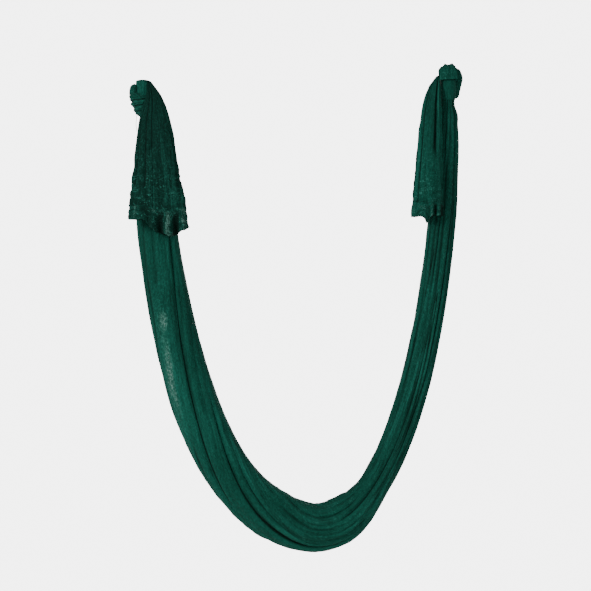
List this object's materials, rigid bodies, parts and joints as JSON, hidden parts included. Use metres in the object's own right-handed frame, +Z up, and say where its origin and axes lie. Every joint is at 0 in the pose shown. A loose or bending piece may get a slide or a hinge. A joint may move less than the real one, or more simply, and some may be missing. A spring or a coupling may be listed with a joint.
{
  "type": "aerial yoga hammock",
  "caption": "Stretch cloth hammock for aerial yoga, knotted at each end with the ends hanging free, gathered into a deep U that opens as a seat.",
  "frame": {"origin": "middle of the left knot's eye, where the rod of a karabiner goes through", "axes": "+X towards the right knot, +Y away from the viewer, +Z up"},
  "size_m": [1.1327, 0.1859, 1.6521],
  "materials": {
    "left_eye_turn": "satin knit, dark green",
    "left_knot_strap": "satin knit, dark green",
    "left_knot_wraps": "satin knit, dark green",
    "left_tail": "satin knit, dark green",
    "left_tail_hem": "satin knit, dark green",
    "right_eye_turn": "satin knit, dark green",
    "right_knot_cap": "satin knit, dark green",
    "right_knot_cup": "satin knit, dark green",
    "right_knot_roll": "satin knit, dark green",
    "right_tail": "satin knit, dark green",
    "right_tail_hem": "satin knit, dark green",
    "sling_back_fold": "satin knit, dark green",
    "sling_front_fold": "satin knit, dark green"
  },
  "bodies": {
    "eyes": {"left_eye_turn": "left_eye_turn", "right_eye_turn": "right_eye_turn"},
    "sling": {"left_knot_strap": "left_knot_strap", "left_knot_wraps": "left_knot_wraps", "right_knot_cap": "right_knot_cap", "right_knot_cup": "right_knot_cup", "right_knot_roll": "right_knot_roll", "sling_back_fold": "sling_back_fold"},
    "front_fold": {"sling_front_fold": "sling_front_fold"},
    "left_tail": {"left_tail": "left_tail", "left_tail_hem": "left_tail_hem"},
    "right_tail": {"right_tail": "right_tail", "right_tail_hem": "right_tail_hem"}
  },
  "joints": [
    {"name": "swing", "type": "hinge", "parent": "eyes", "child": "sling", "pos_m": [0, 0, 0], "axis": [0.9989, 0, 0.0474], "range_deg": [-45, 45]},
    {"name": "pocket_open", "type": "hinge", "parent": "sling", "child": "front_fold", "pos_m": [0.0573, -0.0503, -0.545], "axis": [-0.999, -0.0169, -0.0418], "range_deg": [0, 22]},
    {"name": "left_tail_lift", "type": "hinge", "parent": "sling", "child": "left_tail", "pos_m": [0, 0, 0], "axis": [-0.9989, 0, -0.0474], "range_deg": [0, 45]},
    {"name": "right_tail_lift", "type": "hinge", "parent": "sling", "child": "right_tail", "pos_m": [1.0387, 0, 0.0493], "axis": [-0.9989, 0, -0.0474], "range_deg": [0, 45]}
  ]
}
